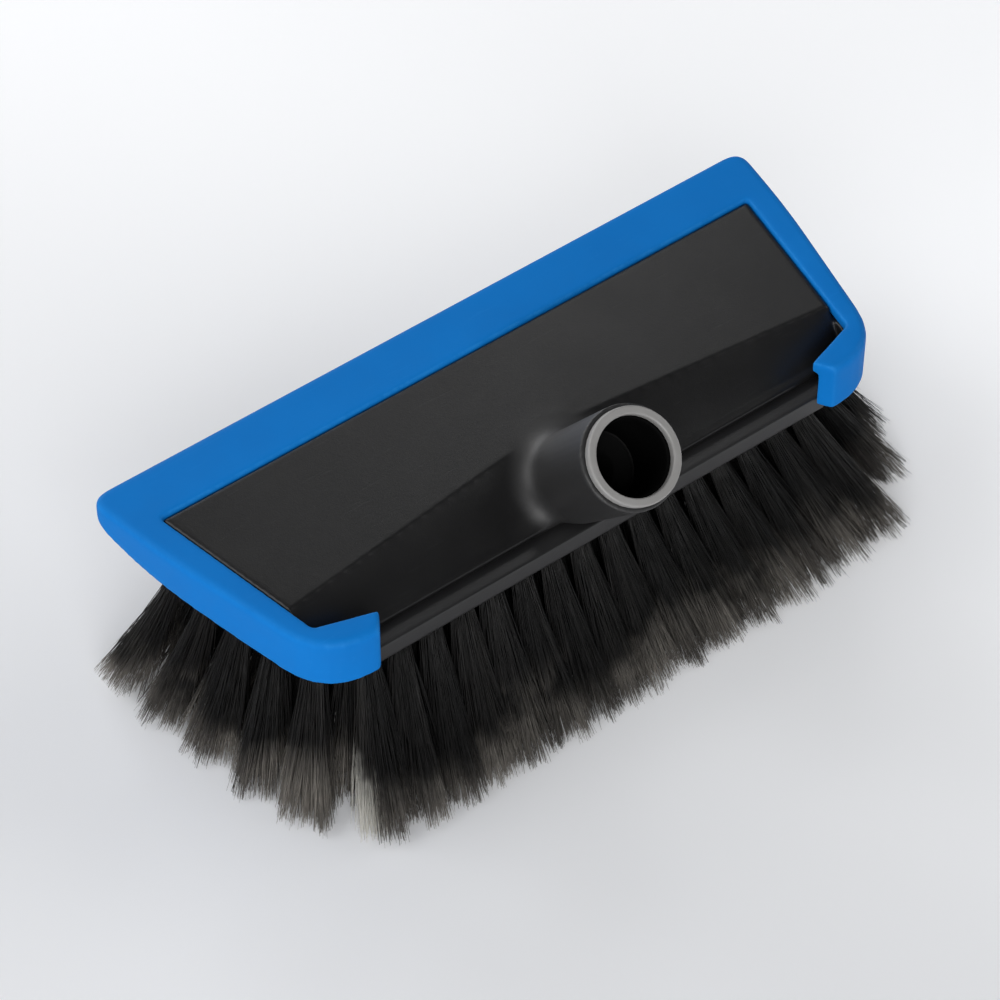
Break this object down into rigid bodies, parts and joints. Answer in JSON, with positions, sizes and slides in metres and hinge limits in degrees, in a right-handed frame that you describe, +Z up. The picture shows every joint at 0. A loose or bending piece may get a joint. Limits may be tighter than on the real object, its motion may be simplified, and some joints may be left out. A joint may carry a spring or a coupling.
{
  "type": "solar panel wash brush head",
  "caption": "Wash brush head for solar panels: trapezoid block with an inclined pole socket, a rubber bumper round the back and ends, and fanned soft bristles.",
  "frame": {"origin": "on the floor under the middle of the head, at the level of the bristle tips", "axes": "+X along the head, -Y towards the pole side, +Z up from the bristle tips to the top plate"},
  "size_m": [0.2678, 0.1194, 0.1066],
  "materials": {
    "dark_plastic": "fine moulded grain, dark grey",
    "blue_rubber": "satin blue rubber",
    "black_seal": "matt black rubber",
    "pale_plastic": "satin light grey",
    "steel": "bright",
    "bristle": "black filaments with pale split tips"
  },
  "bodies": {
    "root": {"top_cover": "dark_plastic", "bristle_base": "dark_plastic", "bumper": "blue_rubber", "chamber_seal": "black_seal", "socket_ring": "pale_plastic", "socket_sleeve": "dark_plastic", "socket_seal": "black_seal", "screw_rear_left": "steel", "screw_rear_mid_left": "steel", "screw_rear_mid_right": "steel", "screw_rear_right": "steel", "screw_front_left": "steel", "screw_front_right": "steel", "water_jet_left": "pale_plastic", "water_jet_mid_left": "pale_plastic", "water_jet_mid_right": "pale_plastic", "water_jet_right": "pale_plastic", "bristles_front_left": "bristle", "bristles_rear_left": "bristle", "bristles_front_right": "bristle", "bristles_rear_right": "bristle"}
  },
  "joints": []
}
